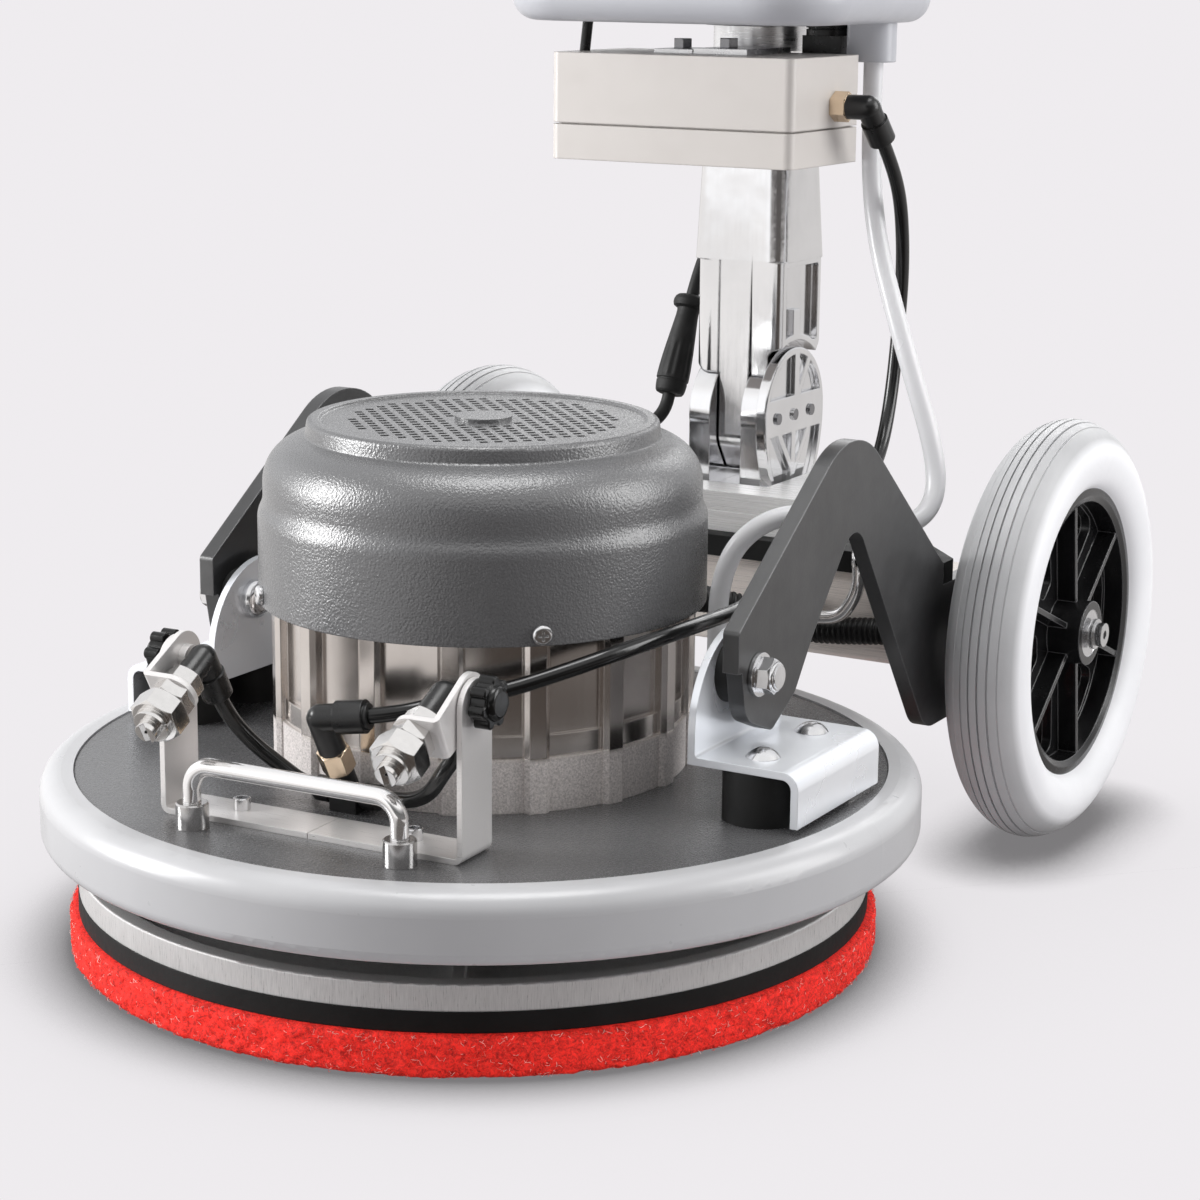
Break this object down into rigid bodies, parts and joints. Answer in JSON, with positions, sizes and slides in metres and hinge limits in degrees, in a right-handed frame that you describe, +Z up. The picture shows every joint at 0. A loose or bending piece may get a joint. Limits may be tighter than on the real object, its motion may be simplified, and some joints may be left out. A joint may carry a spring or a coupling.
{
  "type": "orbital floor machine",
  "caption": "Upright floor machine with a round orbiting scrub pad under a vented motor, a pivoted wheeled chassis, spray nozzles and a tilting handle column with tank.",
  "frame": {"origin": "on the motor axis where the pad meets the floor", "axes": "+Z up along the motor axis, -Y towards the front with the spray nozzles, +Y towards the wheels and handle, +X to the right seen from the front camera side"},
  "size_m": [0.467, 0.6795, 1.124],
  "materials": {
    "pad_fibre": "coarse red fibre",
    "holder_plastic": "black moulded",
    "drive_steel": "turned",
    "machined_steel": "machined",
    "laminations": "stacked laminations",
    "fan_plastic": "moulded",
    "bumper_rubber": "pale grey, smooth",
    "grey_paint": "wrinkle paint",
    "cast_aluminium": "cast and turned",
    "polished_aluminium": "polished casting",
    "chrome": "polished",
    "stainless": "satin",
    "zinc": "bright zinc",
    "black_rubber": "matt",
    "black_fitting": "moulded, satin",
    "nickel_brass": "nickel plated",
    "black_paint": "satin",
    "grey_tyre": "non-marking",
    "rim_plastic": "moulded, glossy",
    "cream_plastic": "moulded",
    "white_tank": "moulded",
    "clear_hose": "translucent",
    "black_tube": "smooth",
    "conduit_plastic": "corrugated",
    "head_plastic": "moulded",
    "grip_rubber": "ribbed",
    "button_plastic": "moulded"
  },
  "bodies": {
    "deck": {"deck_plate": "grey_paint", "bumper_ring": "bumper_rubber", "motor_frame": "cast_aluminium", "stator": "laminations", "motor_cover": "grey_paint", "shaft_bearings": "machined_steel", "lift_handle": "chrome", "nozzle_bracket": "stainless", "spray_manifold": "black_fitting", "pivot_brackets": "zinc", "rubber_buffers": "black_rubber", "pivot_spacers": "black_rubber", "pivot_bolts": "zinc", "deck_screws": "stainless", "deck_fittings": "black_fitting", "spray_tubes": "black_tube", "conduit": "conduit_plastic"},
    "rotor": {"motor_shaft": "machined_steel", "rotor_core": "laminations", "cooling_fan": "fan_plastic", "eccentric_hub": "machined_steel"},
    "pad_assembly": {"scrub_pad": "pad_fibre", "pad_holder": "holder_plastic", "drive_plate": "drive_steel", "drive_bearing": "machined_steel"},
    "nozzle_left": {"nozzle_arm_left": "stainless", "spray_nozzle_left": "nickel_brass", "nozzle_elbow_left": "black_fitting"},
    "nozzle_right": {"nozzle_arm_right": "stainless", "spray_nozzle_right": "nickel_brass", "nozzle_elbow_right": "black_fitting"},
    "knob_left": {"clamp_knob_left": "black_fitting"},
    "knob_right": {"clamp_knob_right": "black_fitting"},
    "chassis": {"side_plates": "black_paint", "cross_plate": "black_paint", "axle_beam": "stainless", "axle": "machined_steel", "base_plates": "polished_aluminium", "knuckle_clevis": "polished_aluminium", "knuckle_pin": "machined_steel", "hose_guide": "chrome", "feed_tube": "black_tube", "solution_hose": "clear_hose", "motor_cable": "black_rubber", "cable_connector": "black_rubber"},
    "wheel_left": {"tyre_left": "grey_tyre", "rim_left": "rim_plastic"},
    "wheel_right": {"tyre_right": "grey_tyre", "rim_right": "rim_plastic"},
    "handle": {"handle_casting": "polished_aluminium", "handle_tube": "chrome", "control_box": "cream_plastic", "box_elbow": "black_fitting", "tank": "white_tank", "valve_block": "white_tank", "handle_head": "head_plastic", "hand_grips": "grip_rubber"},
    "cap": {"tank_cap": "head_plastic"},
    "lever": {"switch_lever": "head_plastic"},
    "button": {"lock_button": "button_plastic"}
  },
  "joints": [
    {"name": "motor_spin", "type": "hinge", "parent": "deck", "child": "rotor", "pos_m": [0, 0, 0.2], "axis": [0, 0, 1], "continuous": true},
    {"name": "pad_spin", "type": "hinge", "parent": "rotor", "child": "pad_assembly", "pos_m": [-0.0036, -0.0023, 0.047], "axis": [0, 0, 1], "continuous": true},
    {"name": "nozzle_left_tilt", "type": "hinge", "parent": "deck", "child": "nozzle_left", "pos_m": [0.00622, -0.15488, 0.174], "axis": [0.9992, 0.0401, 0], "range_deg": [-25, 10], "deforming": ["spray_tubes"]},
    {"name": "nozzle_right_tilt", "type": "hinge", "parent": "deck", "child": "nozzle_right", "pos_m": [0.00622, -0.15488, 0.174], "axis": [0.9992, 0.0401, 0], "range_deg": [-25, 10], "deforming": ["spray_tubes"]},
    {"name": "knob_left_turn", "type": "hinge", "parent": "deck", "child": "knob_left", "pos_m": [0.00622, -0.15488, 0.174], "axis": [0.9992, 0.0401, 0], "continuous": true},
    {"name": "knob_right_turn", "type": "hinge", "parent": "deck", "child": "knob_right", "pos_m": [0.00622, -0.15488, 0.174], "axis": [0.9992, 0.0401, 0], "continuous": true},
    {"name": "chassis_pivot", "type": "hinge", "parent": "deck", "child": "chassis", "pos_m": [0, -0.007, 0.165], "axis": [1, 0, 0], "range_deg": [-3, 3], "deforming": ["feed_tube", "solution_hose", "motor_cable", "conduit"]},
    {"name": "wheel_left_spin", "type": "hinge", "parent": "chassis", "child": "wheel_left", "pos_m": [-0.198, 0.321, 0.125], "axis": [1, 0, 0], "continuous": true},
    {"name": "wheel_right_spin", "type": "hinge", "parent": "chassis", "child": "wheel_right", "pos_m": [0.198, 0.321, 0.125], "axis": [1, 0, 0], "continuous": true},
    {"name": "handle_tilt", "type": "hinge", "parent": "chassis", "child": "handle", "pos_m": [0, 0.305, 0.241], "axis": [-1, 0, 0], "range_deg": [0, 50], "deforming": ["feed_tube", "solution_hose", "motor_cable"]},
    {"name": "cap_lift", "type": "slide", "parent": "handle", "child": "cap", "axis": [0, 0, 1], "range_m": [0, 0.04]},
    {"name": "lever_squeeze", "type": "hinge", "parent": "handle", "child": "lever", "pos_m": [0, 0.286, 1.097], "axis": [1, 0, 0], "range_deg": [0, 10], "stiffness_Nm_per_rad": 2, "springref_deg": -2.86},
    {"name": "button_press", "type": "slide", "parent": "handle", "child": "button", "axis": [0, 0, -1], "range_m": [0, 0.004], "stiffness_N_per_m": 800, "springref_m": -0.001}
  ]
}
